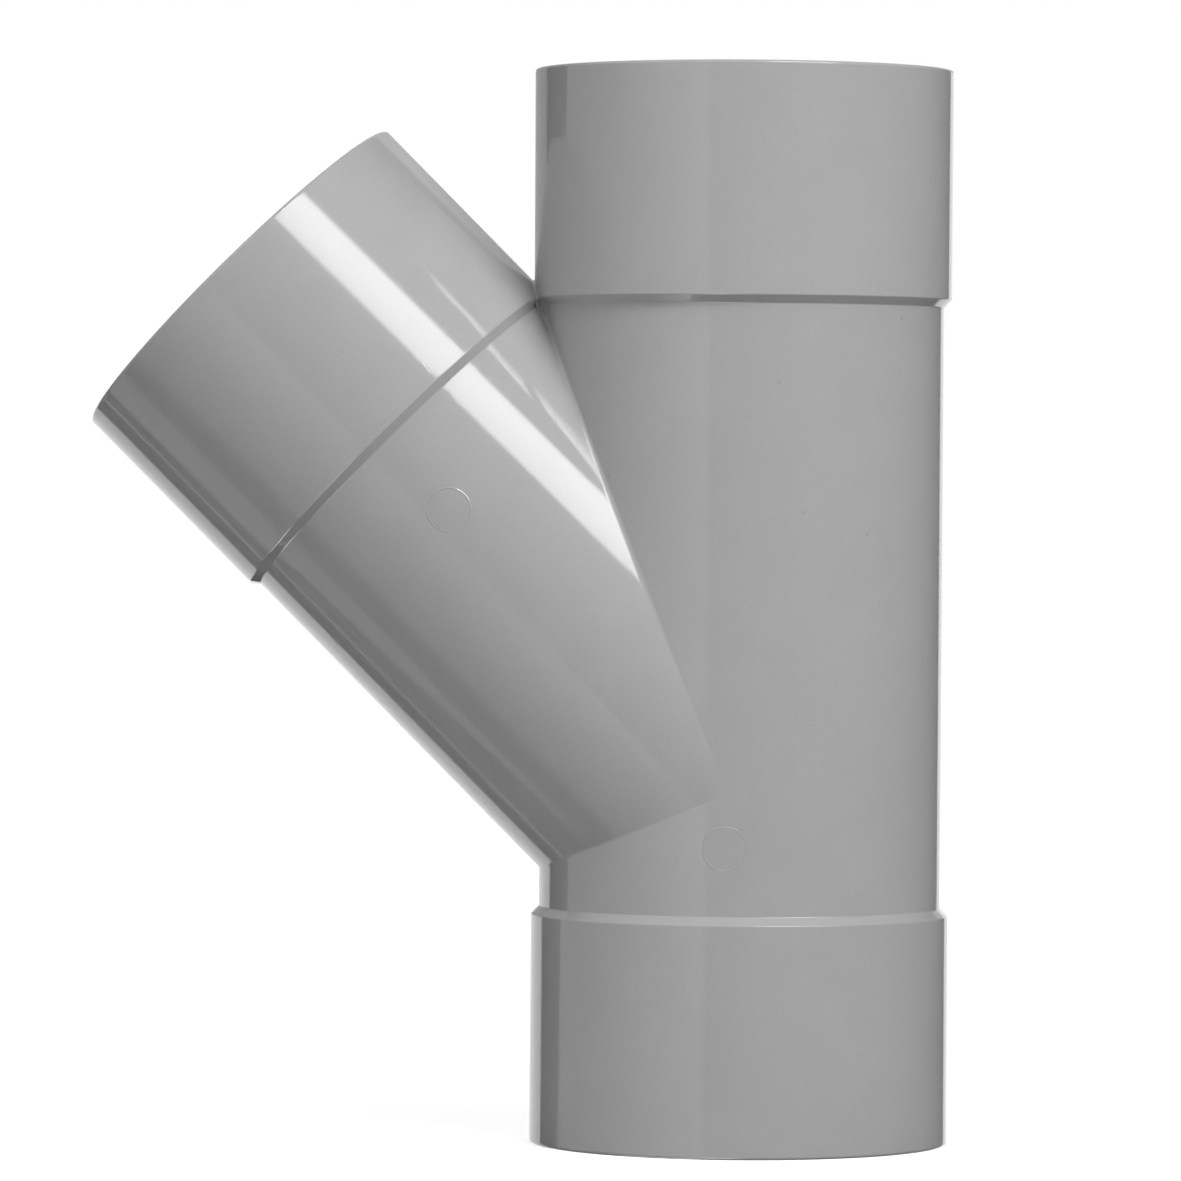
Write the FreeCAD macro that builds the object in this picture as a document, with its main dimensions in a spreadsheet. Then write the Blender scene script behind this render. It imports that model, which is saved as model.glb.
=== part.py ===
import FreeCAD, Part
import math
import os
import Sketcher

# Lateral wye pipe fitting, one injection-moulded piece of grey plastic.
# Frame: the run's axis is Z, z = 0 is the plane of the lower mouth, and the branch leans up towards -X.
# All lengths are in millimetres and angles in degrees.

SIZES = {
    # the pipe that is pushed into the three sockets, and the gap round it for the solvent cement
    "pipe_radius": 55.0,
    "socket_clearance": 0.2,
    # how deep a pipe goes in, and how far the stop stands in over the pipe's end
    "socket_depth": 61.0,
    "stop_height": 2.0,
    # walls: the two sockets of the run, the socket of the branch, and the body that joins them
    "run_socket_wall": 3.2,
    "branch_socket_wall": 2.8,
    "body_wall": 3.2,
    # the outside shoulder starts this far past the stop and slopes down to the body over its length
    "shoulder_setback": 2.8,
    "shoulder_length": 2.3,
    # the outside of a socket widens this much in radius from the shoulder to the mouth
    "mouth_flare": 0.1,
    # the whole run from mouth to mouth, and where the branch's axis leaves the run's axis
    "run_height": 299.8,
    "meet_height": 99.8,
    "branch_length": 200.4,
    "branch_angle": 45.0,
    # rounded outer edges and the sloped edge that leads a pipe into its socket
    "rim_round": 0.8,
    "shoulder_round": 0.5,
    "lead_in_depth": 1.5,
    "lead_in_width": 0.8,
}

DERIVED = {
    "socket_bore": "pipe_radius + socket_clearance",
    "lead_in_bore": "socket_bore + lead_in_width",
    "body_bore": "pipe_radius - stop_height",
    "body_outside": "body_bore + body_wall",
    "run_socket": "socket_bore + run_socket_wall",
    "run_mouth": "run_socket + mouth_flare",
    "branch_socket": "socket_bore + branch_socket_wall",
    "branch_mouth": "branch_socket + mouth_flare",
    # heights along the run, from the lower mouth up
    "low_stop": "socket_depth",
    "low_socket_end": "low_stop + shoulder_setback",
    "low_body_end": "low_socket_end + shoulder_length",
    "top_stop": "run_height - socket_depth",
    "top_socket_end": "top_stop - shoulder_setback",
    "top_body_end": "top_socket_end - shoulder_length",
    "top_lead_in": "run_height - lead_in_depth",
    # lengths along the branch, from the point where the axes meet
    "branch_stop": "branch_length - socket_depth",
    "branch_socket_end": "branch_stop - shoulder_setback",
    "branch_body_end": "branch_socket_end - shoulder_length",
    "branch_lead_in": "branch_length - lead_in_depth",
}

RUN_OUTSIDE = [
    (None, None, None),
    ("run_mouth", None, "rim_round"),
    ("run_socket", "low_socket_end", "shoulder_round"),
    ("body_outside", "low_body_end", None),
    ("body_outside", "top_body_end", None),
    ("run_socket", "top_socket_end", "shoulder_round"),
    ("run_mouth", "run_height", "rim_round"),
    (None, "run_height", None),
]

BRANCH_OUTSIDE = [
    (None, None, None),
    ("body_outside", None, None),
    ("body_outside", "branch_body_end", None),
    ("branch_socket", "branch_socket_end", "shoulder_round"),
    ("branch_mouth", "branch_length", "rim_round"),
    (None, "branch_length", None),
]

RUN_INSIDE = [
    (None, None, None),
    ("lead_in_bore", None, None),
    ("socket_bore", "lead_in_depth", None),
    ("socket_bore", "low_stop", None),
    ("body_bore", "low_stop", None),
    ("body_bore", "top_stop", None),
    ("socket_bore", "top_stop", None),
    ("socket_bore", "top_lead_in", None),
    ("lead_in_bore", "run_height", None),
    (None, "run_height", None),
]

BRANCH_INSIDE = [
    (None, None, None),
    ("body_bore", None, None),
    ("body_bore", "branch_stop", None),
    ("socket_bore", "branch_stop", None),
    ("socket_bore", "branch_lead_in", None),
    ("lead_in_bore", "branch_length", None),
    (None, "branch_length", None),
]

# Sketcher's own names for a sketch's two axes and for the two ends of a line
X_AXIS, Y_AXIS = range(-1, -3, -1)
START, END = range(1, 3)


def make_sheet(doc):
    """The spreadsheet that drives every sketch: plain sizes first, then what follows from them."""
    sheet = doc.addObject("Spreadsheet::Sheet", "sizes")
    rows = [(name, str(value)) for name, value in SIZES.items()]
    rows += [(name, "=" + formula) for name, formula in DERIVED.items()]
    for row, (name, content) in enumerate(rows, 1):
        sheet.set(f"A{row}", name)
        sheet.set(f"B{row}", content)
        sheet.setAlias(f"B{row}", name)
    doc.recompute()
    return sheet


def value(sheet, name):
    """A size from the sheet as a plain number; no name stands for a coordinate of zero."""
    return float(getattr(sheet, name)) if name else 0.0


def bind(sketch, constraint, name):
    """Adds a measured constraint and ties it to a size in the sheet."""
    index = sketch.addConstraint(constraint)
    sketch.setExpression(f"Constraints[{index}]", f"sizes.{name}")


def place_point(sketch, sheet, geometry, end, across, up):
    """Holds a point at its distance from the axis and its distance along it."""
    if across:
        bind(sketch, Sketcher.Constraint("DistanceX", X_AXIS, START, geometry, end, value(sheet, across)), across)
    else:
        sketch.addConstraint(Sketcher.Constraint("PointOnObject", geometry, end, Y_AXIS))
    if up:
        bind(sketch, Sketcher.Constraint("DistanceY", X_AXIS, START, geometry, end, value(sheet, up)), up)
    else:
        sketch.addConstraint(Sketcher.Constraint("PointOnObject", geometry, end, X_AXIS))


def corner_round(before, corner, after, radius):
    """Centre and touching points of an arc that rounds one corner of the profile."""
    back = (before - corner).normalize()
    on = (after - corner).normalize()
    half = back.getAngle(on) / 2
    middle = (back + on).normalize()
    reach = radius / math.tan(half)
    return corner + middle * (radius / math.sin(half)), corner + back * reach, corner + on * reach


def draw_profile(sketch, sheet, corners):
    """Draws a closed half section beside the axis, corner by corner, with its rounded edges."""
    points = [FreeCAD.Vector(value(sheet, across), value(sheet, up), 0) for across, up, _ in corners]
    count = len(corners)
    arcs = {}
    leave = list(points)
    arrive = list(points)
    for i, (_, _, rounding) in enumerate(corners):
        if rounding:
            centre, arrive[i], leave[i] = corner_round(
                points[i - 1], points[i], points[(i + 1) % count], value(sheet, rounding))
            arcs[i] = centre
    lines = []
    for i in range(count):
        lines.append(sketch.addGeometry(Part.LineSegment(leave[i], arrive[(i + 1) % count]), False))
    for i, (across, up, rounding) in enumerate(corners):
        into, out = lines[i - 1], lines[i]
        if not rounding:
            sketch.addConstraint(Sketcher.Constraint("Coincident", into, END, out, START))
            place_point(sketch, sheet, out, START, across, up)
            continue
        centre = arcs[i]
        first, last = arrive[i] - centre, leave[i] - centre
        turns_left = first.cross(last).z > 0
        begin, finish = (first, last) if turns_left else (last, first)
        circle = Part.Circle(centre, FreeCAD.Vector(0, 0, 1), first.Length)
        arc = sketch.addGeometry(
            Part.ArcOfCircle(circle, math.atan2(begin.y, begin.x), math.atan2(finish.y, finish.x)), False)
        arc_in, arc_out = (START, END) if turns_left else (END, START)
        sketch.addConstraint(Sketcher.Constraint("Tangent", into, END, arc, arc_in))
        sketch.addConstraint(Sketcher.Constraint("Tangent", arc, arc_out, out, START))
        bind(sketch, Sketcher.Constraint("Radius", arc, first.Length), rounding)
        corner = sketch.addGeometry(Part.Point(points[i]), True)
        sketch.addConstraint(Sketcher.Constraint("PointOnObject", corner, START, into))
        sketch.addConstraint(Sketcher.Constraint("PointOnObject", corner, START, out))
        place_point(sketch, sheet, corner, START, across, up)


def origin_plane(body, role):
    """One of the body's own three planes."""
    return next(item for item in body.Origin.OriginFeatures if item.Role == role)


def section_sketch(body, sheet, name, corners, along_branch):
    """A half section in the plane of both axes, beside the run's axis or beside the branch's axis."""
    sketch = body.newObject("Sketcher::SketchObject", name)
    sketch.AttachmentSupport = [(origin_plane(body, "XZ_Plane"), "")]
    sketch.MapMode = "FlatFace"
    if along_branch:
        sketch.AttachmentOffset = FreeCAD.Placement(
            FreeCAD.Vector(0, value(sheet, "meet_height"), 0),
            FreeCAD.Rotation(FreeCAD.Vector(0, 0, 1), value(sheet, "branch_angle")))
        sketch.setExpression("AttachmentOffset.Base.y", "sizes.meet_height")
        sketch.setExpression("AttachmentOffset.Rotation.Angle", "sizes.branch_angle * 1 deg")
    draw_profile(sketch, sheet, corners)
    return sketch


def turned(body, sheet, kind, name, corners, along_branch=False):
    """Turns a half section once round its axis, as added material or as a cut."""
    sketch = section_sketch(body, sheet, name + "_section", corners, along_branch)
    body.Document.recompute()
    feature = body.newObject("PartDesign::" + kind, name)
    feature.Profile = sketch
    feature.ReferenceAxis = (sketch, ["V_Axis"])
    feature.Angle = 360
    body.Document.recompute()
    sketch.Visibility = False
    return feature


def check_document(doc):
    """Stops where an object failed to build."""
    for item in doc.Objects:
        if "Invalid" in item.State or "Error" in item.State:
            raise RuntimeError(f"{item.Name}: {item.State}")


doc = FreeCAD.newDocument("lateral_wye")
sheet = make_sheet(doc)
wye = doc.addObject("PartDesign::Body", "wye_body")
wye.Label = "wye_body"

solid_run = turned(wye, sheet, "Revolution", "run_outside", RUN_OUTSIDE)
solid_wye = turned(wye, sheet, "Revolution", "branch_outside", BRANCH_OUTSIDE, along_branch=True)
open_run = turned(wye, sheet, "Groove", "run_inside", RUN_INSIDE)
open_wye = turned(wye, sheet, "Groove", "branch_inside", BRANCH_INSIDE, along_branch=True)

doc.recompute()
check_document(doc)
volumes = [feature.Shape.Volume for feature in (solid_run, solid_wye, open_run, open_wye)]
if not (volumes[1] > volumes[0] and volumes[1] > volumes[2] > volumes[3] > 0):
    raise RuntimeError(f"a section added or cut nothing: {volumes}")
shape = wye.Shape
if shape.isNull() or not shape.isValid() or len(shape.Solids) != 1:
    raise RuntimeError("wye_body is not one valid solid")
os.makedirs("parts", exist_ok=True)
shape.exportStep(f"parts/{wye.Label}.step")
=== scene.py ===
import math

import bpy
import numpy as np
from mathutils import Matrix, Vector


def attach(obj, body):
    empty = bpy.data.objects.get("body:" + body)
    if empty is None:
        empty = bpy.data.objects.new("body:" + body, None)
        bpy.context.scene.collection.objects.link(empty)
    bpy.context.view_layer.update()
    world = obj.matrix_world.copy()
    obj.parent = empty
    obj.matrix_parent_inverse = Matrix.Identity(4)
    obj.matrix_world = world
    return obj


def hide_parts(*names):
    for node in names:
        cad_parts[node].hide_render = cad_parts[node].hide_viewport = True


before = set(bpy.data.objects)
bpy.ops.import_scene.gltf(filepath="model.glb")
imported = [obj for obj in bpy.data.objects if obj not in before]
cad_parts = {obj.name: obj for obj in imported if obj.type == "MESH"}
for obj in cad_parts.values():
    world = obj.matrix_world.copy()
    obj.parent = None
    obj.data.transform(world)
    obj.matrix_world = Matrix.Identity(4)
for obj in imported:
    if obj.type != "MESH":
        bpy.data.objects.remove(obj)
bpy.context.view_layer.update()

# The wye fitting: one injection moulding in grey PVC, a straight run with a branch leaning off it at 45 degrees.
# Each of its three ends widens over a bevelled shoulder into a socket that a drain pipe is pushed into and cemented.
# Nothing is fixed to it: it stands on the rim of its lower socket.
MM = 0.001
RUN_HEIGHT = 299.8 * MM
MEET_HEIGHT = 99.8 * MM
BRANCH_LENGTH = 200.4 * MM
LEAN = math.radians(45)

BODY_OUTSIDE = 56.2 * MM
BODY_BORE = 53.0 * MM
RUN_SOCKET, RUN_MOUTH = 58.4 * MM, 58.5 * MM
BRANCH_SOCKET, BRANCH_MOUTH = 58.0 * MM, 58.1 * MM
SOCKET_BORE, LEAD_IN_BORE = 55.2 * MM, 56.0 * MM

# lengths counted from a mouth inwards
LEAD_IN, PIPE_STOP, SHOULDER_EDGE, SHOULDER_FOOT = 1.5 * MM, 61.0 * MM, 63.8 * MM, 66.1 * MM

# how far the mould's corners are eased
RIM_EASE, EDGE_EASE, FOOT_EASE, INSIDE_EASE, CREASE_EASE = 0.8 * MM, 0.6 * MM, 0.6 * MM, 0.3 * MM, 1.0 * MM

# the tongue that closes the crotch's corner: its length, the width over which it dies out, and how its points even out
TONGUE, TONGUE_WIDTH, TONGUE_ABOVE = 4.5 * MM, 2.2 * MM, 225 * MM
TONGUE_RINGS, TONGUE_ROUNDS = 3, 30

# the skin is laid out in columns round each tube, finer next to the creases where two tubes meet
COLUMNS, FINE_COLUMNS = 72, 8
FINE, WIDE = 2.2 * MM, 18 * MM

RUN_END = [(BODY_OUTSIDE, SHOULDER_FOOT, FOOT_EASE), (RUN_SOCKET, SHOULDER_EDGE, EDGE_EASE), (RUN_MOUTH, 0, RIM_EASE)]
BRANCH_END = [
    (BODY_OUTSIDE, SHOULDER_FOOT, FOOT_EASE), (BRANCH_SOCKET, SHOULDER_EDGE, EDGE_EASE), (BRANCH_MOUTH, 0, RIM_EASE)]
INSIDE_END = [
    (LEAD_IN_BORE, 0, INSIDE_EASE), (SOCKET_BORE, LEAD_IN, INSIDE_EASE),
    (SOCKET_BORE, PIPE_STOP, INSIDE_EASE), (BODY_BORE, PIPE_STOP, INSIDE_EASE)]


def eased_line(corners, steps=4):
    """A section line through (radius, distance, ease) corners, with each corner turned as a small arc."""
    points = [np.array(corners[0][:2])]
    for before, corner, after in zip(corners, corners[1:], corners[2:]):
        at = np.array(corner[:2])
        back = np.array(before[:2]) - at
        on = np.array(after[:2]) - at
        back /= np.linalg.norm(back)
        on /= np.linalg.norm(on)
        half = math.acos(np.clip(back @ on, -1, 1)) / 2
        centre = at + (back + on) / np.linalg.norm(back + on) * corner[2] / math.sin(half)
        start = at + back * corner[2] / math.tan(half) - centre
        end = at + on * corner[2] / math.tan(half) - centre
        sweep = math.pi - 2 * half
        for i in range(steps + 1):
            t = i / steps
            points.append(centre + (math.sin((1 - t) * sweep) * start + math.sin(t * sweep) * end) / math.sin(sweep))
    points.append(np.array(corners[-1][:2]))
    return np.array(points)


def graded_line(points, first=0.2 * MM, longest=9 * MM, growth=2.3):
    """The same line with extra points on its straights, crowding towards the ends so that gloss runs true."""
    line = [points[0]]
    for a, b in zip(points, points[1:]):
        length = np.linalg.norm(b - a)
        near, step, reach = [], first, first
        while reach < length * 0.4:
            near.append(reach)
            step = min(step * growth, longest)
            reach += step
        line += [a + (b - a) * s / length for s in near + [length - s for s in reversed(near)]] + [b]
    return np.array(line)


def outside_radius(end, from_mouth):
    """Radius of a tube's outside at each distance from its mouth."""
    line = eased_line([(BODY_OUTSIDE, 90 * MM, 0)] + end + [(BODY_BORE, 0, 0)], 12)[:-1][::-1]
    return np.interp(from_mouth, line[:, 1], line[:, 0])


def end_rows(end, outer_from, inner_from):
    """Rows from the body's outside, over the shoulder and the mouth, and back to the body's bore."""
    corners = [(BODY_OUTSIDE, outer_from, 0)] + end + INSIDE_END + [(BODY_BORE, inner_from, 0)]
    return graded_line(eased_line(corners))


def crease_table():
    """Where the outsides meet above the branch: distance along the branch, height on the run, distance to the side.

    Both radii change over the shoulders, so the meeting point is settled by repeating the same step.
    """
    along = np.linspace(0, 142 * MM, 8001)
    branch_radius = outside_radius(BRANCH_END, BRANCH_LENGTH - along)
    run_radius = np.full_like(along, BODY_OUTSIDE)
    for _ in range(60):
        apart = np.minimum(run_radius ** 2 - branch_radius ** 2, along ** 2)
        branch_reach = np.sqrt(along ** 2 - apart) / math.sin(LEAN) - along / math.tan(LEAN)
        run_reach = along * math.sin(LEAN) - branch_reach * math.cos(LEAN)
        height = MEET_HEIGHT + (run_reach * math.cos(LEAN) + branch_reach) / math.sin(LEAN)
        run_radius = outside_radius(RUN_END, RUN_HEIGHT - height)
    return along, height, np.sqrt(np.maximum(branch_radius ** 2 - branch_reach ** 2, 0))


def crotch_tip():
    """The crotch's middle point: its distance along the branch and its height on the run."""
    run_radius, branch_radius = RUN_SOCKET, BRANCH_SOCKET
    for _ in range(20):
        along = (run_radius + branch_radius * math.cos(LEAN)) / math.sin(LEAN)
        height = MEET_HEIGHT + (run_radius * math.cos(LEAN) + branch_radius) / math.sin(LEAN)
        run_radius = outside_radius(RUN_END, RUN_HEIGHT - height)
        branch_radius = outside_radius(BRANCH_END, BRANCH_LENGTH - along)
    return float(along), float(height)


ALONG, HEIGHT, SIDEWAYS = crease_table()
OUTER_TIP, OUTER_TIP_HEIGHT = crotch_tip()
RISE = (1 + math.cos(LEAN)) / math.sin(LEAN)
DROP = (1 - math.cos(LEAN)) / math.sin(LEAN)
OUTER_LOW, INNER_LOW, INNER_TIP = BODY_OUTSIDE * DROP, BODY_BORE * DROP, BODY_BORE * RISE


def outer_crease_stations():
    """Distances along the branch at which the outer skin gets a row, from the axes' meeting point to the crotch."""
    low = OUTER_LOW * np.sin(np.linspace(0, math.pi / 2, 25))
    after = OUTER_LOW + np.array([0.06, 0.16, 0.32, 0.6, 1.1, 2.0, 3.4]) * MM
    body = np.linspace(OUTER_LOW + 5.6 * MM, BRANCH_LENGTH - SHOULDER_FOOT - 2 * MM, 44)
    branch_shoulder, run_shoulder = (graded_line(eased_line(
        [(BODY_OUTSIDE, SHOULDER_FOOT + 1 * MM, 0)] + end[:2] + [(end[1][0], SHOULDER_EDGE - 1.2 * MM, 0)]))[:, 1]
        for end in (BRANCH_END, RUN_END))
    branch_shoulder, run_shoulder = BRANCH_LENGTH - branch_shoulder, RUN_HEIGHT - run_shoulder
    run_shoulder = np.interp(run_shoulder, HEIGHT, ALONG)
    last = ALONG > BRANCH_LENGTH - SHOULDER_EDGE + 1.0 * MM
    tip = np.interp(-np.linspace(12, 0, 13) * MM, -SIDEWAYS[last], ALONG[last])
    tip[-1] = OUTER_TIP
    stations = np.sort(np.concatenate([low, after, body, branch_shoulder, run_shoulder, tip]))
    stations = stations[stations < OUTER_TIP - 0.03 * MM]
    return np.append(stations[np.concatenate([[True], np.diff(stations) > 0.03 * MM])], OUTER_TIP)


def tip_rows(tip, upto, first=0.06 * MM):
    """Rows just past a crease's tip, where the tube becomes whole."""
    rows, step = [], first
    at = tip + math.copysign(first, upto - tip)
    while abs(at - tip) < abs(upto - tip):
        rows.append(at)
        step *= 1.7
        at += math.copysign(step, upto - tip)
    return rows


def crease_rows(stations, outer):
    """For each station: height above the axes' meeting point, and the sideways angle of the crease on each tube."""
    if outer:
        side = np.interp(stations, ALONG, SIDEWAYS)
        height = np.where(stations < OUTER_TIP - 1e-9, np.interp(stations, ALONG, HEIGHT), OUTER_TIP_HEIGHT)
        run_radius = outside_radius(RUN_END, RUN_HEIGHT - height)
        branch_radius = outside_radius(BRANCH_END, BRANCH_LENGTH - stations)
        side[stations >= OUTER_TIP - 1e-9] = 0
    else:
        height = MEET_HEIGHT + stations
        run_radius = branch_radius = np.full_like(stations, BODY_BORE)
        side = np.sqrt(np.maximum(BODY_BORE ** 2 - (stations / RISE) ** 2, 0))
    return height, run_radius, np.arcsin(np.clip(side / run_radius, 0, 1)), \
        branch_radius, np.arcsin(np.clip(side / branch_radius, 0, 1))


def lower_angle(stations, radius):
    """Sideways angle of the lower crease, which both tubes share; nothing is cut past its tip."""
    return np.arccos(np.clip(stations / (radius * DROP), 0, 1))


def fine_upper(side):
    """Width of the fine columns beside the upper crease: wider near the crotch, where the rows run along the crease."""
    return FINE + (WIDE - FINE) * np.clip(1 - np.asarray(side) / (13 * MM), 0, 1) ** 1.5


def fine_lower(stations, low):
    """The same beside the lower crease."""
    return FINE + (WIDE - FINE) * np.clip(np.asarray(stations) / low, 0, 1) ** 2


outer_stations = outer_crease_stations()
inner_low = INNER_LOW * np.sin(np.linspace(0, math.pi / 2, 19))
inner_stations = np.concatenate([
    inner_low, tip_rows(INNER_LOW, INNER_LOW + 4 * MM, 0.15 * MM), np.linspace(INNER_LOW + 6 * MM, 0.9 * INNER_TIP, 16),
    INNER_TIP * np.cos(np.linspace(0.42, 0, 10))])
outer_low = outer_stations[outer_stations <= OUTER_LOW + 1e-9]

run_rows, branch_rows = [], []
HALF_TURN = math.pi


def add_rows(rows, radius, along, first, last, fine_first, fine_last):
    """Adds section rows: where each lies, between which two angles it is turned, and how wide its fine ends are."""
    radius, along, first, last = np.broadcast_arrays(*np.atleast_1d(radius, along, first, last))
    width = last - first
    fine_first = np.minimum(fine_first / BODY_OUTSIDE, width * 0.3)
    fine_last = np.minimum(fine_last / BODY_OUTSIDE, width * 0.3)
    rows += list(zip(radius, along, first, last, fine_first, fine_last))


BACK = 16 * MM
# the run, as one closed section: down the outside, round the lower mouth, up the bore, round the upper mouth
add_rows(run_rows, BODY_OUTSIDE, MEET_HEIGHT - outer_low, lower_angle(outer_low, BODY_OUTSIDE), HALF_TURN,
         fine_lower(outer_low, OUTER_LOW), BACK)
low_tip, low_tip_inside = MEET_HEIGHT - OUTER_LOW, MEET_HEIGHT - INNER_LOW
for at in tip_rows(low_tip, low_tip - 4 * MM):
    add_rows(run_rows, BODY_OUTSIDE, at, 0, HALF_TURN, WIDE, BACK)
lower_end = end_rows(RUN_END, low_tip - 4 * MM, low_tip_inside - 3 * MM)
add_rows(run_rows, lower_end[:, 0], lower_end[:, 1], 0, HALF_TURN, WIDE, BACK)
for at in reversed(tip_rows(low_tip_inside, low_tip_inside - 3 * MM, 0.15 * MM)):
    add_rows(run_rows, BODY_BORE, at, 0, HALF_TURN, WIDE, BACK)
back_up = inner_low[::-1]
add_rows(run_rows, BODY_BORE, MEET_HEIGHT - back_up, lower_angle(back_up, BODY_BORE), HALF_TURN,
         fine_lower(back_up, INNER_LOW), BACK)
height, radius, angle, _, _ = crease_rows(inner_stations[1:], False)
add_rows(run_rows, radius, height, angle, HALF_TURN, fine_upper(radius * np.sin(angle)), BACK)
for at in tip_rows(MEET_HEIGHT + INNER_TIP, MEET_HEIGHT + INNER_TIP + 3 * MM, 0.15 * MM):
    add_rows(run_rows, BODY_BORE, at, 0, HALF_TURN, WIDE, BACK)
upper_inside = [(BODY_BORE, RUN_HEIGHT - MEET_HEIGHT - INNER_TIP - 3 * MM, 0)]
upper_outside = [(RUN_SOCKET, RUN_HEIGHT - OUTER_TIP_HEIGHT - 4 * MM, 0)]
upper_line = upper_inside + INSIDE_END[::-1] + RUN_END[2:] + upper_outside
upper_end = graded_line(eased_line(upper_line))
add_rows(run_rows, upper_end[:, 0], RUN_HEIGHT - upper_end[:, 1], 0, HALF_TURN, WIDE, BACK)
for at in reversed(tip_rows(OUTER_TIP_HEIGHT, OUTER_TIP_HEIGHT + 4 * MM)):
    add_rows(run_rows, outside_radius(RUN_END, RUN_HEIGHT - at), at, 0, HALF_TURN, WIDE, BACK)
height, radius, angle, _, _ = crease_rows(outer_stations[::-1], True)
add_rows(run_rows, radius, height, angle, HALF_TURN, fine_upper(radius * np.sin(angle)), BACK)

# the branch, as an open strip: up the outside, round the mouth and back down the bore
_, _, _, radius, angle = crease_rows(outer_stations, True)
add_rows(branch_rows, radius, outer_stations, angle, HALF_TURN - lower_angle(outer_stations, BODY_OUTSIDE),
         fine_upper(radius * np.sin(angle)), fine_lower(outer_stations, OUTER_LOW))
for at in tip_rows(OUTER_TIP, OUTER_TIP + 4 * MM):
    add_rows(branch_rows, outside_radius(BRANCH_END, BRANCH_LENGTH - at), at, 0, HALF_TURN, WIDE, WIDE)
mouth_line = [(BRANCH_SOCKET, BRANCH_LENGTH - OUTER_TIP - 4 * MM, 0), BRANCH_END[2]] + INSIDE_END \
    + [(BODY_BORE, BRANCH_LENGTH - INNER_TIP - 3 * MM, 0)]
mouth = graded_line(eased_line(mouth_line))
add_rows(branch_rows, mouth[:, 0], BRANCH_LENGTH - mouth[:, 1], 0, HALF_TURN, WIDE, WIDE)
for at in reversed(tip_rows(INNER_TIP, INNER_TIP + 3 * MM, 0.15 * MM)):
    add_rows(branch_rows, BODY_BORE, at, 0, HALF_TURN, WIDE, WIDE)
_, _, _, radius, angle = crease_rows(inner_stations[::-1], False)
add_rows(branch_rows, radius, inner_stations[::-1], angle, HALF_TURN - lower_angle(inner_stations[::-1], BODY_BORE),
         fine_upper(radius * np.sin(angle)), fine_lower(inner_stations[::-1], INNER_LOW))


def node_tools(tree):
    """Two short ways to add to a node tree: any node with its inputs and settings, and a Math node's result."""
    def node(kind, inputs=(), **settings):
        made = tree.nodes.new(kind)
        for name, value in settings.items():
            setattr(made, name, value)
        for name, value in dict(inputs).items():
            if isinstance(value, bpy.types.NodeSocket):
                tree.links.new(value, made.inputs[name])
            else:
                made.inputs[name].default_value = value
        return made

    def calc(operation, *values):
        return node("ShaderNodeMath", dict(enumerate(values)), operation=operation).outputs[0]

    return node, calc


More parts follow.
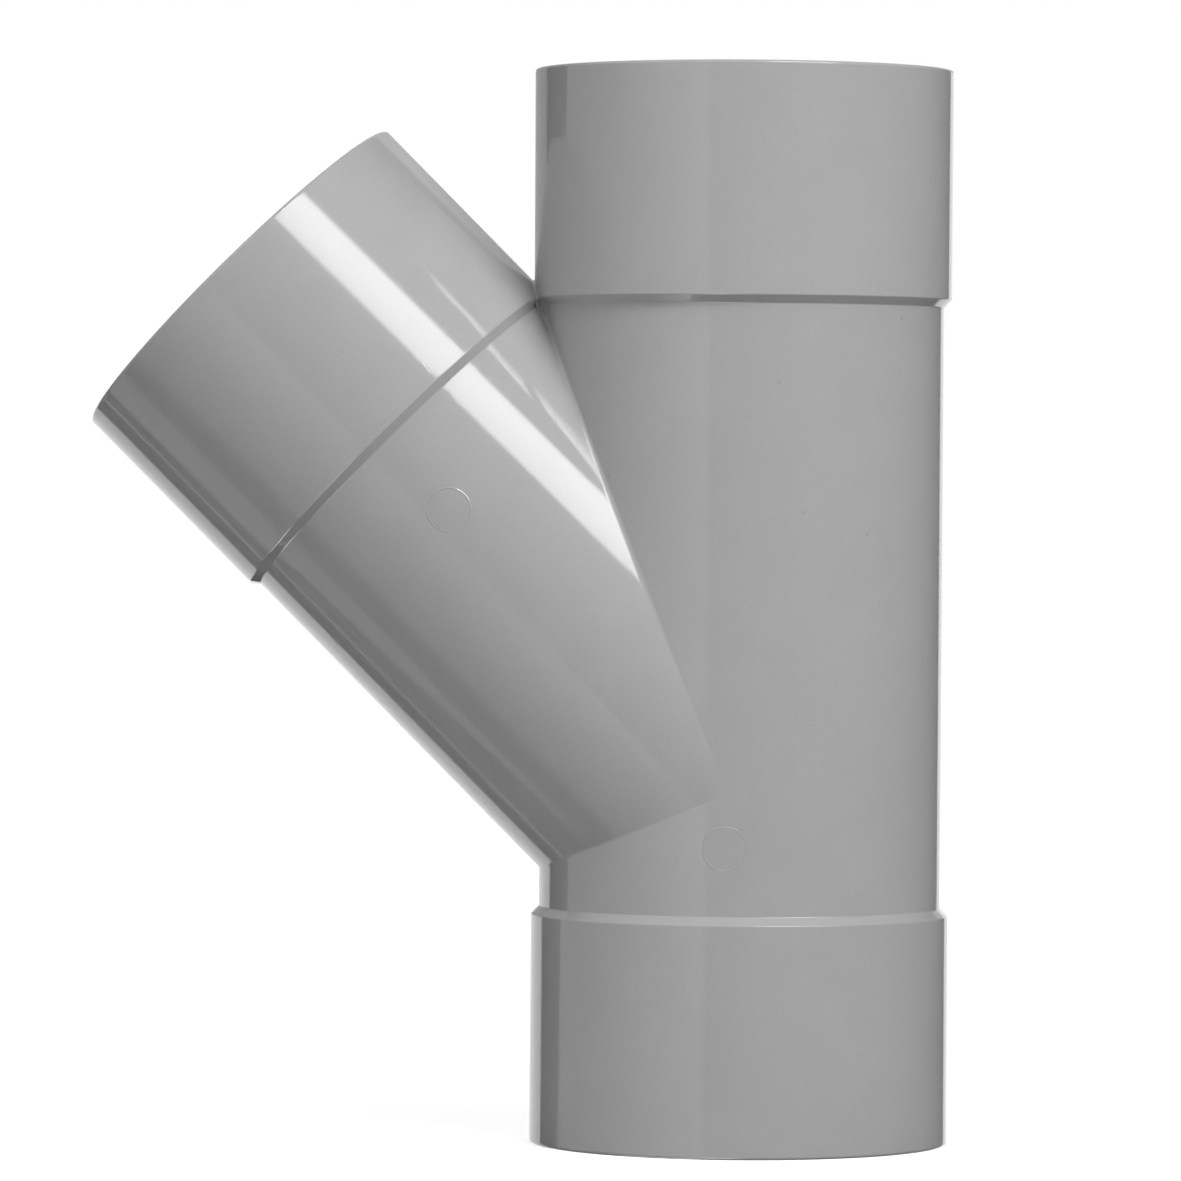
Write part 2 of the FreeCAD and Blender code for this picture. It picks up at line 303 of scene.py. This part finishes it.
def turning_tree():
    """Node tree that turns each section row round its tube between its two angles, and joins all into the skin."""
    tree = bpy.data.node_groups.new("turn the wye's sections", "GeometryNodeTree")
    for label, kind, value in (
            ("Sections", "NodeSocketGeometry", None), ("Run rows", "NodeSocketInt", 2),
            ("Branch rows", "NodeSocketInt", 2), ("Columns", "NodeSocketInt", 8), ("Fine columns", "NodeSocketInt", 2),
            ("Fine crowding", "NodeSocketFloat", 1.5), ("Lean", "NodeSocketFloat", 0.0),
            ("Meet height", "NodeSocketFloat", 0.0), ("Join distance", "NodeSocketFloat", 0.0),
            ("Plastic", "NodeSocketMaterial", None)):
        socket = tree.interface.new_socket(label, in_out="INPUT", socket_type=kind)
        if value is not None:
            socket.default_value = value
    tree.interface.new_socket("Skin", in_out="OUTPUT", socket_type="NodeSocketGeometry")
    given = tree.nodes.new("NodeGroupInput").outputs
    node, calc = node_tools(tree)

    def turned_half(first_row, rows, facing):
        """One side of one tube as a grid: a column for each angle and a row for each section row."""
        grid = node("GeometryNodeMeshGrid", {"Vertices X": calc("ADD", given["Columns"], 1), "Vertices Y": rows})
        index = node("GeometryNodeInputIndex").outputs[0]
        column = calc("FLOOR", calc("DIVIDE", calc("ADD", index, 0.5), rows))
        row = calc("ADD", calc("SUBTRACT", index, calc("MULTIPLY", column, rows)), first_row)

        def of_row(name):
            stored = node("GeometryNodeInputNamedAttribute", {"Name": name}, data_type="FLOAT").outputs["Attribute"]
            return node("GeometryNodeSampleIndex", {"Geometry": given["Sections"], "Value": stored, "Index": row},
                        data_type="FLOAT", domain="POINT").outputs["Value"]

        def fine_share(count):
            share = calc("DIVIDE", calc("MINIMUM", count, given["Fine columns"]), given["Fine columns"])
            return calc("POWER", share, given["Fine crowding"])

        first, last, fine_first, fine_last = (
            of_row(name) for name in ("first_angle", "last_angle", "fine_first", "fine_last"))
        to_go = calc("SUBTRACT", given["Columns"], column)
        plain = calc("SUBTRACT", given["Columns"], calc("MULTIPLY", given["Fine columns"], 2.0))
        middle = calc("DIVIDE", calc("SUBTRACT", column, given["Fine columns"]), plain)
        middle = calc("MINIMUM", calc("MAXIMUM", middle, 0.0), 1.0)
        spare = calc("SUBTRACT", calc("SUBTRACT", last, first), calc("ADD", fine_first, fine_last))
        angle = calc("ADD", first, calc("MULTIPLY", fine_first, fine_share(column)))
        angle = calc("ADD", angle, calc("MULTIPLY", middle, spare))
        angle = calc("ADD", angle, calc("MULTIPLY", fine_last, calc("SUBTRACT", 1.0, fine_share(to_go))))
        radius = of_row("radius")
        out = calc("MULTIPLY", calc("MULTIPLY", radius, calc("COSINE", angle)), facing)
        side = calc("MULTIPLY", radius, calc("SINE", angle))
        place = node("ShaderNodeCombineXYZ", {0: out, 1: side, 2: of_row("along")}).outputs[0]
        return node("GeometryNodeSetPosition", {"Geometry": grid.outputs["Mesh"], "Position": place}).outputs[0]

    run = turned_half(0.0, given["Run rows"], -1.0)
    branch = turned_half(given["Run rows"], given["Branch rows"], 1.0)
    tilt = node("ShaderNodeCombineXYZ", {1: calc("MULTIPLY", given["Lean"], -1.0)}).outputs[0]
    lift = node("ShaderNodeCombineXYZ", {2: given["Meet height"]}).outputs[0]
    branch = node("GeometryNodeTransform", {"Geometry": branch, "Rotation": tilt, "Translation": lift}).outputs[0]
    near = node("GeometryNodeJoinGeometry")
    tree.links.new(run, near.inputs[0])
    tree.links.new(branch, near.inputs[0])
    position = node("GeometryNodeInputPosition").outputs[0]
    across = node("ShaderNodeVectorMath", {0: position, 1: (1.0, -1.0, 1.0)}, operation="MULTIPLY").outputs[0]
    far = node("GeometryNodeSetPosition", {"Geometry": near.outputs[0], "Position": across}).outputs[0]
    far = node("GeometryNodeFlipFaces", {"Mesh": far}).outputs[0]
    whole = node("GeometryNodeJoinGeometry")
    tree.links.new(near.outputs[0], whole.inputs[0])
    tree.links.new(far, whole.inputs[0])
    joined = node("GeometryNodeMergeByDistance", {"Geometry": whole.outputs[0], "Distance": given["Join distance"]})
    smooth = node("GeometryNodeSetShadeSmooth", {0: joined.outputs[0]})
    real = node("GeometryNodeRealizeInstances", {0: smooth.outputs[0]})
    coloured = node("GeometryNodeSetMaterial", {"Geometry": real.outputs[0], "Material": given["Plastic"]})
    tree.links.new(coloured.outputs[0], tree.nodes.new("NodeGroupOutput").inputs[0])
    return tree


# the plastic's grey and its roughness; heights of the waves and the peel in its skin, and of the marks on it
GREY, GLOSS = 0.352, 0.07
WAVE_HEIGHT, PEEL_HEIGHT, HAIR_DEPTH = 0.006 * MM, 0.0018 * MM, -0.002 * MM
PIN_HEIGHT, PARTING_HEIGHT = 0.13 * MM, 0.02 * MM
# a pin's round edge lies 6 mm round each of these points, and the parting line runs all round in the plane of the axes
PIN_MARKS, PIN_RADIUS, PIN_EDGE = ((-0.0769, 0.0562, 0.1767), (-0.0008, 0.0562, 0.0848)), 6.0 * MM, 0.28 * MM
PARTING_WIDTH, JUST_INSIDE = 0.22 * MM, 55.7 * MM
# handling marks that show on this fitting: one scratch from end to end, and small nicks
SCRATCHES, SCRATCH_WIDTH = (((-0.0851, -0.0533, 0.2174), (-0.0823, -0.0535, 0.2138)),), 0.2 * MM
NICKS = ((-0.0357, -0.0434, 0.189), (-0.0019, -0.0584, 0.243), (0.0218, -0.0542, 0.2386), (0.0183, -0.0531, 0.1211),
         (-0.1717, -0.0227, 0.1959), (-0.1123, -0.0531, 0.2454))
NICK_SIZE = 0.45 * MM


def grey_pvc():
    """Smooth moulded PVC: even grey with faint clouding and grain, a fine peel in its gloss, and marks of handling."""
    material = bpy.data.materials.new("grey moulded PVC")
    material.use_nodes = True
    tree = material.node_tree
    shader = tree.nodes["Principled BSDF"]
    shader.inputs["IOR"].default_value = 1.54
    node, calc = node_tools(tree)

    place = node("ShaderNodeTexCoord").outputs["Object"]

    def noise(per_metre, detail=2.0, harshness=0.5, at=place):
        return node("ShaderNodeTexNoise", {"Vector": at, "Scale": per_metre, "Detail": detail,
                                           "Roughness": harshness}).outputs[0]

    def spread(value, low, high, to_low, to_high):
        return node("ShaderNodeMapRange", {"Value": value, "From Min": low, "From Max": high,
                                           "To Min": to_low, "To Max": to_high}).outputs[0]

    def total(*values):
        result = values[0]
        for value in values[1:]:
            result = calc("ADD", result, value)
        return result

    def closeness(value, reach):
        """One where the value is nothing, falling to nothing at the reach."""
        return spread(value, 0.0, reach, 1.0, 0.0)

    def away_from(point, at=place):
        return node("ShaderNodeVectorMath", {0: at, 1: point}, operation="DISTANCE").outputs["Value"]

    def beside_line(start, way):
        """Distance along a line through space, and distance from it."""
        offset = node("ShaderNodeVectorMath", {0: place, 1: start}, operation="SUBTRACT").outputs[0]
        along = node("ShaderNodeVectorMath", {0: offset, 1: way}, operation="DOT_PRODUCT").outputs["Value"]
        side = node("ShaderNodeVectorMath", {0: offset, 1: way}, operation="CROSS_PRODUCT").outputs[0]
        return along, node("ShaderNodeVectorMath", {0: side}, operation="LENGTH").outputs["Value"]

    def scratch(start, end, width):
        """One along a short straight scratch, nothing beside it."""
        half = (Vector(end) - Vector(start)) / 2
        along, side = beside_line((Vector(start) + Vector(end)) / 2, half.normalized())
        ends = spread(calc("ABSOLUTE", along), half.length * 0.6, half.length, 1.0, 0.0)
        return calc("MULTIPLY", ends, closeness(side, width))

    # colour: large faint clouds, small clouds and pigment grain
    cloud = noise(14.0, 3.0, 0.6)
    small_cloud = noise(85.0, 2.0)
    grain = noise(2600.0, 1.0)
    tone = total(spread(cloud, 0.3, 0.7, -0.008, 0.008), spread(small_cloud, 0.3, 0.7, -0.004, 0.004),
                 spread(grain, 0.3, 0.7, -0.011, 0.011))

    # the moulded skin: long shallow waves, a fine peel and a finer one on it
    waves = noise(38.0, 1.0)
    peel = noise(520.0, 2.0, 0.6)
    fine_peel = noise(1500.0, 2.0, 0.7)
    height = total(calc("MULTIPLY", waves, WAVE_HEIGHT), calc("MULTIPLY", peel, PEEL_HEIGHT),
                   calc("MULTIPLY", fine_peel, PEEL_HEIGHT * 0.3))

    # the mould's own marks: a round pin's edge on the branch and one on the run, front and back, and the parting line
    x, y, z = node("ShaderNodeSeparateXYZ", {0: place}).outputs
    folded = node("ShaderNodeCombineXYZ", {0: x, 1: calc("ABSOLUTE", y), 2: z}).outputs[0]
    patchy = spread(noise(160.0), 0.32, 0.52, 0.3, 1.0)
    pins = [closeness(calc("ABSOLUTE", calc("SUBTRACT", away_from(centre, folded), PIN_RADIUS)), PIN_EDGE)
            for centre in PIN_MARKS]
    pins = calc("MULTIPLY", calc("MAXIMUM", *pins), patchy)
    _, from_run = beside_line((0, 0, 0), (0, 0, 1))
    along, from_branch = beside_line((0, 0, MEET_HEIGHT), (-math.sin(LEAN), 0, math.cos(LEAN)))
    outside = calc("MAXIMUM", calc("GREATER_THAN", from_branch, JUST_INSIDE), calc("LESS_THAN", along, 0.0))
    outside = calc("MULTIPLY", outside, calc("GREATER_THAN", from_run, JUST_INSIDE))
    parting = calc("MULTIPLY", closeness(calc("ABSOLUTE", y), PARTING_WIDTH), outside)
    parting = calc("MULTIPLY", parting, spread(noise(45.0), 0.35, 0.6, 0.35, 1.0))
    height = total(height, calc("MULTIPLY", pins, PIN_HEIGHT), calc("MULTIPLY", parting, PARTING_HEIGHT))

    # handling: rubbed patches, long hair scratches in two directions, and the odd nick
    rubbed = spread(noise(22.0, 4.0, 0.65), 0.55, 0.75, 0.0, 1.0)
    hair = 0.0
    for turned, stretch in (((0.5, 0.9, 0.2), (900.0, 900.0, 14.0)), ((1.1, 0.3, 0.8), (14.0, 800.0, 800.0))):
        swung = node("ShaderNodeVectorRotate", {"Vector": place, "Rotation": turned}, rotation_type="EULER_XYZ")
        thin = node("ShaderNodeVectorMath", {0: swung.outputs[0], 1: stretch}, operation="MULTIPLY").outputs[0]
        line = spread(noise(1.0, 0.0, 0.5, thin), 0.76, 0.80, 0.0, 1.0)
        hair = calc("MAXIMUM", line, hair)
    scratch_and_glint = calc("MAXIMUM", 0.0, *[scratch(start, end, SCRATCH_WIDTH) for start, end in SCRATCHES])
    hair = calc("MAXIMUM", hair, scratch_and_glint)
    cells = node("ShaderNodeTexVoronoi", {"Vector": place, "Scale": 48.0, "Randomness": 1.0})
    nicks = spread(cells.outputs["Distance"], 0.018, 0.030, 1.0, 0.0)
    for point in NICKS:
        nicks = calc("MAXIMUM", nicks, closeness(away_from(point), NICK_SIZE))

    # base colour: clouds and grain, lighter rubbed patches, darker nicks, and the scratch painted lighter: partly the
    # whitened plastic of a scratch, partly a painted highlight for the key light it catches
    tree.links.new(total(tone, calc("MULTIPLY", rubbed, 0.006), calc("MULTIPLY", nicks, -0.05),
                         calc("MULTIPLY", scratch_and_glint, 0.3), GREY),
                   shader.inputs["Base Color"])
    gloss = total(spread(cloud, 0.3, 0.7, GLOSS - 0.012, GLOSS + 0.012), calc("MULTIPLY", rubbed, 0.05),
                  calc("MULTIPLY", hair, 0.10), calc("MULTIPLY", nicks, 0.2))
    tree.links.new(gloss, shader.inputs["Roughness"])
    height = total(height, calc("MULTIPLY", hair, HAIR_DEPTH), calc("MULTIPLY", nicks, HAIR_DEPTH * 6))
    bump = node("ShaderNodeBump", {"Height": height, "Strength": 1.0, "Distance": 1.0})
    tree.links.new(bump.outputs[0], shader.inputs["Normal"])
    return material


def wye_skin():
    """The fitting's whole surface as one closed mesh, from the section rows."""
    rows = np.array(run_rows + branch_rows)
    sections = bpy.data.meshes.new("wye sections")
    sections.vertices.add(len(rows))
    for name, values in zip(("radius", "along", "first_angle", "last_angle", "fine_first", "fine_last"), rows.T):
        sections.attributes.new(name, "FLOAT", "POINT").data.foreach_set("value", values.astype(np.float32))
    holder = bpy.data.objects.new("wye sections", sections)
    bpy.context.scene.collection.objects.link(holder)
    modifier = holder.modifiers.new("turn", "NODES")
    modifier.node_group = turning_tree()
    sizes = {
        "Run rows": len(run_rows), "Branch rows": len(branch_rows), "Columns": COLUMNS,
        "Fine columns": FINE_COLUMNS, "Fine crowding": 1.6, "Lean": LEAN, "Meet height": MEET_HEIGHT,
        "Join distance": 0.0005 * MM, "Plastic": grey_pvc()}
    for item in modifier.node_group.interface.items_tree:
        if item.in_out == "INPUT" and item.name in sizes:
            modifier[item.identifier] = sizes[item.name]
    evaluated = holder.evaluated_get(bpy.context.evaluated_depsgraph_get())
    skin = bpy.data.meshes.new_from_object(evaluated)
    holder.modifiers.remove(modifier)
    bpy.data.objects.remove(holder)
    skin.name = "wye_fitting"
    return skin


def gap_to_skin(points, bare=False):
    """Distance outside the two eased tubes; the corner between them is filled with a small round."""
    x, y, up = points[:, 0], points[:, 1], points[:, 2] - MEET_HEIGHT
    out = np.hypot(x, y)
    from_end = np.minimum(points[:, 2], RUN_HEIGHT - points[:, 2])
    slope = (outside_radius(RUN_END, from_end - 0.02 * MM)
             - outside_radius(RUN_END, from_end + 0.02 * MM)) / (0.04 * MM)
    run = (out - outside_radius(RUN_END, from_end)) / np.sqrt(1 + slope ** 2)
    along = up * math.cos(LEAN) - x * math.sin(LEAN)
    reach = up * math.sin(LEAN) + x * math.cos(LEAN)
    branch_out = np.hypot(reach, y)
    from_mouth = BRANCH_LENGTH - along
    slope = (outside_radius(BRANCH_END, from_mouth - 0.02 * MM)
             - outside_radius(BRANCH_END, from_mouth + 0.02 * MM)) / (0.04 * MM)
    branch = (branch_out - outside_radius(BRANCH_END, from_mouth)) / np.sqrt(1 + slope ** 2)
    branch = np.where(along > 0, branch, 1.0)
    if not bare:
        # beside the crotch both sockets' shoulders run on down the crease, in a narrow tongue that closes the corner
        upper = (points[:, 2] > 200 * MM) & (along > 100 * MM)
        run_on = np.where(upper, TONGUE * np.clip(1 - np.maximum(run, branch) / TONGUE_WIDTH, 0, 1), 0)
        run = np.minimum(run, out - outside_radius(RUN_END, from_end - run_on))
        branch = np.where(along > 0, np.minimum(
            branch, branch_out - outside_radius(BRANCH_END, from_mouth - run_on)), 1.0)
    alike = (x * reach * math.cos(LEAN) + y * y) / (out * branch_out)
    ease = CREASE_EASE * np.clip((1 - alike) / 0.6, 0.01, 1)
    corner = np.hypot(np.maximum(ease - run, 0), np.maximum(ease - branch, 0))
    return np.maximum(ease, np.minimum(run, branch)) - corner, run, branch


def onto_skin(points, rounds):
    """The points after so many short moves straight towards the eased surface."""
    step = 0.02 * MM
    for _ in range(rounds):
        gap = gap_to_skin(points)[0]
        slope = np.stack([
            (gap_to_skin(points + axis * step)[0] - gap_to_skin(points - axis * step)[0]) / (2 * step)
            for axis in np.eye(3)], axis=1)
        points = points - 0.8 * (gap / np.maximum((slope ** 2).sum(1), 0.2))[:, None] * slope
    return points


def ease_creases(mesh):
    """Moves the points beside the outer creases onto the small round that the mould leaves there."""
    points = np.empty(len(mesh.vertices) * 3, np.float32)
    mesh.vertices.foreach_get("co", points)
    points = points.reshape(-1, 3).astype(float)
    _, run, branch = gap_to_skin(points, bare=True)
    gap = gap_to_skin(points)[0]
    near = (np.abs(run) < 4 * MM) & (np.abs(branch) < 4 * MM) & (np.minimum(run, branch) > -1.5 * MM) & (gap < -1e-7)
    moved = onto_skin(points[near], 12)
    tongue = near.copy()
    tongue[near] = (np.linalg.norm(moved - points[near], axis=1) > 0.3 * MM) & (moved[:, 2] > TONGUE_ABOVE)
    points[near] = moved

    # the points of the tongue, and a few rings round them, even out among their neighbours and go back onto the skin
    ends = np.empty(len(mesh.edges) * 2, np.int32)
    mesh.edges.foreach_get("vertices", ends)
    ends = ends.reshape(-1, 2)
    for _ in range(TONGUE_RINGS):
        tongue[ends[tongue[ends].any(axis=1)]] = True
    ends = ends[tongue[ends].any(axis=1)]
    for _ in range(TONGUE_ROUNDS):
        middle, count = np.zeros_like(points), np.zeros(len(points))
        for a, b in ((0, 1), (1, 0)):
            np.add.at(middle, ends[:, a], points[ends[:, b]])
            np.add.at(count, ends[:, a], 1)
        halfway = points[tongue] + 0.5 * (middle[tongue] / count[tongue, None] - points[tongue])
        points[tongue] = onto_skin(halfway, 3)
    mesh.vertices.foreach_set("co", points.astype(np.float32).ravel())
    mesh.update()


skin = wye_skin()
ease_creases(skin)
fitting = bpy.data.objects.new("wye_fitting", skin)
bpy.context.scene.collection.objects.link(fitting)
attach(fitting, "root")
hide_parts("wye_body")

# The floor the fitting stands on: a white sheet that runs out of view and keeps the fitting's soft shadow.
FLOOR_HALF = 6.0
# what the camera sees of it is lifted to white: in part near the fitting, so that the shadow stays, then fully
GLOW_NEAR, GLOW_FROM, GLOW_TO = 0.75, 0.25, 1.0
floor_mesh = bpy.data.meshes.new("floor")
floor_mesh.from_pydata(
    [(x * FLOOR_HALF, y * FLOOR_HALF, 0) for x, y in ((-1, -1), (1, -1), (1, 1), (-1, 1))], [], [(0, 1, 2, 3)])
floor = bpy.data.objects.new("floor", floor_mesh)
bpy.context.scene.collection.objects.link(floor)
floor.visible_glossy = False
paper = bpy.data.materials.new("white paper")
paper.use_nodes = True
sheet = paper.node_tree.nodes["Principled BSDF"]
sheet.inputs["Base Color"].default_value = (0.42, 0.42, 0.42, 1)
sheet.inputs["Roughness"].default_value = 0.9
sheet.inputs["Specular IOR Level"].default_value = 0.1
sheet.inputs["Emission Color"].default_value = (1, 1, 1, 1)
node, calc = node_tools(paper.node_tree)
away = node("ShaderNodeVectorMath", {0: node("ShaderNodeTexCoord").outputs["Object"]}, operation="LENGTH")
glow = node("ShaderNodeMapRange", {
    "Value": away.outputs["Value"], "From Min": GLOW_FROM, "From Max": GLOW_TO, "To Min": GLOW_NEAR, "To Max": 1.0})
seen = calc("MULTIPLY", glow.outputs[0], node("ShaderNodeLightPath").outputs["Is Camera Ray"])
paper.node_tree.links.new(seen, sheet.inputs["Emission Strength"])
floor_mesh.materials.append(paper)

# The studio: white to the camera, and a low even light from every side for the rest.
ROUND_LIGHT, ROUND_GLOSS = 0.08, 0.1
world = bpy.data.worlds.new("studio")
bpy.context.scene.world = world
world.use_nodes = True
background = world.node_tree.nodes["Background"]
background.inputs["Color"].default_value = (1, 1, 1, 1)
node, calc = node_tools(world.node_tree)
rays = node("ShaderNodeLightPath").outputs
low = node("ShaderNodeMapRange", {"Value": rays["Is Glossy Ray"], "To Min": ROUND_LIGHT, "To Max": ROUND_GLOSS})
white = calc("MAXIMUM", rays["Is Camera Ray"], rays["Is Transmission Ray"])
level = node("ShaderNodeMapRange", {"Value": white, "To Min": low.outputs[0], "To Max": 1.0})
world.node_tree.links.new(level.outputs[0], background.inputs["Strength"])

# The lamps and cards: soft boxes light the fitting, and what its gloss mirrors hangs as cards round it.
# The key stands up to the right, square to the branch, so that its mirror image runs down the branch as a bright band.
MIDDLE = Vector((-0.05, 0, 0.15))


def toward(azimuth, elevation):
    """Direction from the fitting: azimuth 0 is towards the camera and 90 to the right."""
    a, e = math.radians(azimuth), math.radians(elevation)
    return Vector((math.sin(a) * math.cos(e), -math.cos(a) * math.cos(e), math.sin(e)))


def facing(direction, long_side):
    """Axes of a thing that faces the fitting from a direction: its right, its long side and its back."""
    back = direction.normalized()
    up = Vector(long_side) - back * back.dot(Vector(long_side))
    up.normalize()
    return Matrix((up.cross(back), up, back)).transposed().to_4x4()


def soft_box(name, direction, away, width, height, radiance,
             long_side=(0, 0, 1), centre=MIDDLE, turned=0, spread=180):
    """A rectangular soft box for the diffuse light; what the gloss shows hangs as cards.

    A box with a grid on it spreads less, and turned aside by a few degrees its light falls off across the fitting.
    """
    data = bpy.data.lights.new(name, "AREA")
    data.shape = "RECTANGLE"
    data.size, data.size_y = width, height
    data.energy = radiance * math.pi * width * height
    lamp = bpy.data.objects.new(name, data)
    data.spread = math.radians(spread)
    lamp.matrix_world = Matrix.Translation(centre + direction.normalized() * away) @ facing(direction, long_side) \
        @ Matrix.Rotation(math.radians(-turned), 4, "Y")
    lamp.visible_glossy = False
    bpy.context.scene.collection.objects.link(lamp)


def card(name, corners, tone, place=Matrix(), across=None):
    """A card that only the fitting's gloss sees: how bright it is, or how bright it is from edge to edge."""
    mesh = bpy.data.meshes.new(name)
    mesh.from_pydata([tuple(c) for c in corners], [], [(0, 1, 2, 3)])
    hung = bpy.data.objects.new(name, mesh)
    hung.matrix_world = place
    cloth = bpy.data.materials.new(name)
    cloth.use_nodes = True
    cloth.node_tree.nodes.clear()
    node, _ = node_tools(cloth.node_tree)
    glow = node("ShaderNodeEmission", {"Strength": tone})
    if across:
        # brightness from the left edge to the right edge, as a soft box's cloth falls off
        where = node("ShaderNodeSeparateXYZ", {0: node("ShaderNodeTexCoord").outputs["Object"]})
        share = node("ShaderNodeMapRange", {
            "Value": where.outputs[0], "From Min": corners[0][0], "From Max": corners[1][0]})
        ramp = node("ShaderNodeValToRGB", {0: share.outputs[0]})
        for i, (at, bright) in enumerate(across):
            spot = ramp.color_ramp.elements[i] if i < 2 else ramp.color_ramp.elements.new(at)
            spot.position, spot.color = at, (bright, bright, bright, 1)
        cloth.node_tree.links.new(ramp.outputs[0], glow.inputs["Color"])
    node("ShaderNodeOutputMaterial", {"Surface": glow.outputs[0]})
    mesh.materials.append(cloth)
    for rays in ("camera", "diffuse", "transmission", "volume_scatter", "shadow"):
        setattr(hung, "visible_" + rays, False)
    bpy.context.scene.collection.objects.link(hung)


def upright_card(name, azimuths, heights, tone, away=2.4):
    """A card standing between two azimuths and two heights."""
    left, right = (MIDDLE + toward(v, 0) * away for v in azimuths)
    low, high = heights
    card(name, [(side.x, side.y, z) for side, z in ((left, low), (right, low), (right, high), (left, high))], tone)


# the branch leans up to the left: the way square to it in the plane of the axes, and the way along it
ACROSS = Vector((math.cos(LEAN), 0, math.sin(LEAN)))
ALONG_BRANCH = Vector((-math.sin(LEAN), 0, math.cos(LEAN)))
BRANCH_MIDDLE = Vector((0, 0, MEET_HEIGHT)) + ALONG_BRANCH * 0.12


def beside_branch(degrees):
    """Direction square to the branch, at an angle from the way to the camera up towards its upper side."""
    turn = math.radians(degrees)
    return ACROSS * math.sin(turn) + Vector((0, -1, 0)) * math.cos(turn)


# the key's angle round the branch from the way to the camera, its swing in its own plane, and its distance and size
KEY_ANGLE, KEY_SWING, KEY_AWAY, KEY_WIDTH, KEY_HEIGHT = 54.35, math.radians(32), 2.2, 0.705, 1.3
key_way = beside_branch(KEY_ANGLE)
upward = ALONG_BRANCH.cross(key_way)
key_side = ALONG_BRANCH * math.cos(KEY_SWING) - upward * math.sin(KEY_SWING)
key_centre = BRANCH_MIDDLE + ALONG_BRANCH * 0.14
soft_box("key", key_way, KEY_AWAY, KEY_WIDTH, KEY_HEIGHT, 15.6, key_side, key_centre)
key_place = Matrix.Translation(key_centre + key_way * KEY_AWAY) @ facing(key_way, key_side)
half = KEY_WIDTH * 0.575
card("key cloth", [(-half, -0.65, 0), (half, -0.65, 0), (half, 0.65, 0), (-half, 0.65, 0)], 9.1, key_place,
     ((0.0, 0.0), (1.0, 0.0), (0.08, 0.82), (0.5, 0.96), (0.90, 1.0)))
# one corner of the cloth is brighter: it shows only twice mirrored, as the thin streaks beside the crease
card("key cloth corner", [(0.1, 0.13, -0.01), (half, 0.13, -0.01), (half, 0.9, -0.01), (0.1, 0.9, -0.01)], 16.0,
     key_place, ((0.0, 0.5), (1.0, 0.0), (0.2, 1.0), (0.85, 1.0)))

# boxes for the rest of the light; the two on the left have grids and are turned aside, so the branch's end gets less
soft_box("top", toward(0, 70), 1.8, 0.9, 0.9, 2.5, (0, 1, 0))
soft_box("left", toward(-22, 20), 3.0, 0.85, 0.85, 0.40, turned=9, spread=36)
soft_box("far left", toward(-80, 15), 3.0, 1.5, 1.5, 0.5)
soft_box("near left", toward(-50, 15), 3.0, 0.85, 0.85, 0.21, turned=9, spread=36)
soft_box("high left", toward(-60, 60), 1.8, 0.9, 0.9, 1.4)
soft_box("right", toward(100, 5), 1.8, 0.9, 0.9, 0.35)
soft_box("behind", toward(180, 25), 1.8, 0.9, 0.9, 8.5)

# what the sides mirror: a pale backdrop that ends low on the left, black flags beside it, and a panel on the left
upright_card("backdrop", (158, 190), (-1.5, 0.5), 1.15)
upright_card("backdrop left", (190, 223.5), (-1.5, 0.22), 1.15)
upright_card("backdrop top", (158, 190), (0.5, 2.4), 0.5)
upright_card("backdrop top left", (190, 223.5), (0.22, 2.4), 0.5)
upright_card("left flag", (-136.5, -111), (-1.5, 2.4), 0.0)
upright_card("left panel", (-111, -14), (-1.5, 2.4), 0.7, 2.2)
upright_card("right flag", (130, 158), (-1.5, 2.4), 0.05)
# low down behind, where only the shoulders look
upright_card("low flag", (170, 196), (-1.5, -0.5), 0.0, 2.3)


def branch_card(name, angles, tone, lean=(-38, 38), away=2.2):
    """A card between two angles round the branch, and between two angles along it, for the branch's underside."""
    corners = []
    for turn, tilt in zip((angles[0], angles[1], angles[1], angles[0]), (lean[0], lean[0], lean[1], lean[1])):
        tilt = math.radians(tilt)
        corners.append(BRANCH_MIDDLE + (beside_branch(turn) * math.cos(tilt) + ALONG_BRANCH * math.sin(tilt)) * away)
    card(name, corners, tone)


branch_card("under flag", (-131, -117.4), 0.0)
branch_card("under strip", (-117.4, -115.6), 0.75)
branch_card("under panel", (-87.6, -70), 0.22)
# a lit strip under the branch that only the small rounds along its shoulder see, as thin light lines
for turn in (-25, -55, -85):
    branch_card(f"lit strip {-turn}", (turn - 30, turn), 6.0, (-36, -18))

# The camera, as the photograph was taken: level with the fitting's middle, turned a little to the left of straight on.
data = bpy.data.cameras.new("camera")
SENSOR, FOCAL_PIXELS, PHOTO_PIXELS = 36, 7653.305, 1181
data.sensor_width = SENSOR
data.lens = FOCAL_PIXELS * SENSOR / PHOTO_PIXELS
data.clip_start, data.clip_end = 0.1, 50
camera = bpy.data.objects.new("camera", data)
yaw, pitch, roll = (math.radians(v) for v in (4.430, -0.915, -0.386))
turn = Matrix.Rotation(yaw, 3, "Z") @ Matrix.Rotation(pitch, 3, "X") @ Matrix(((1, 0, 0), (0, 0, 1), (0, -1, 0))) \
    @ Matrix.Rotation(roll, 3, "Z")
camera.matrix_world = Matrix.Translation((0.123337, -2.137988, 0.18833)) @ Matrix(
    [(r[0], -r[1], -r[2]) for r in turn]).to_4x4()
bpy.context.scene.collection.objects.link(camera)
bpy.context.scene.camera = camera

bpy.context.scene.view_settings.view_transform = "Standard"
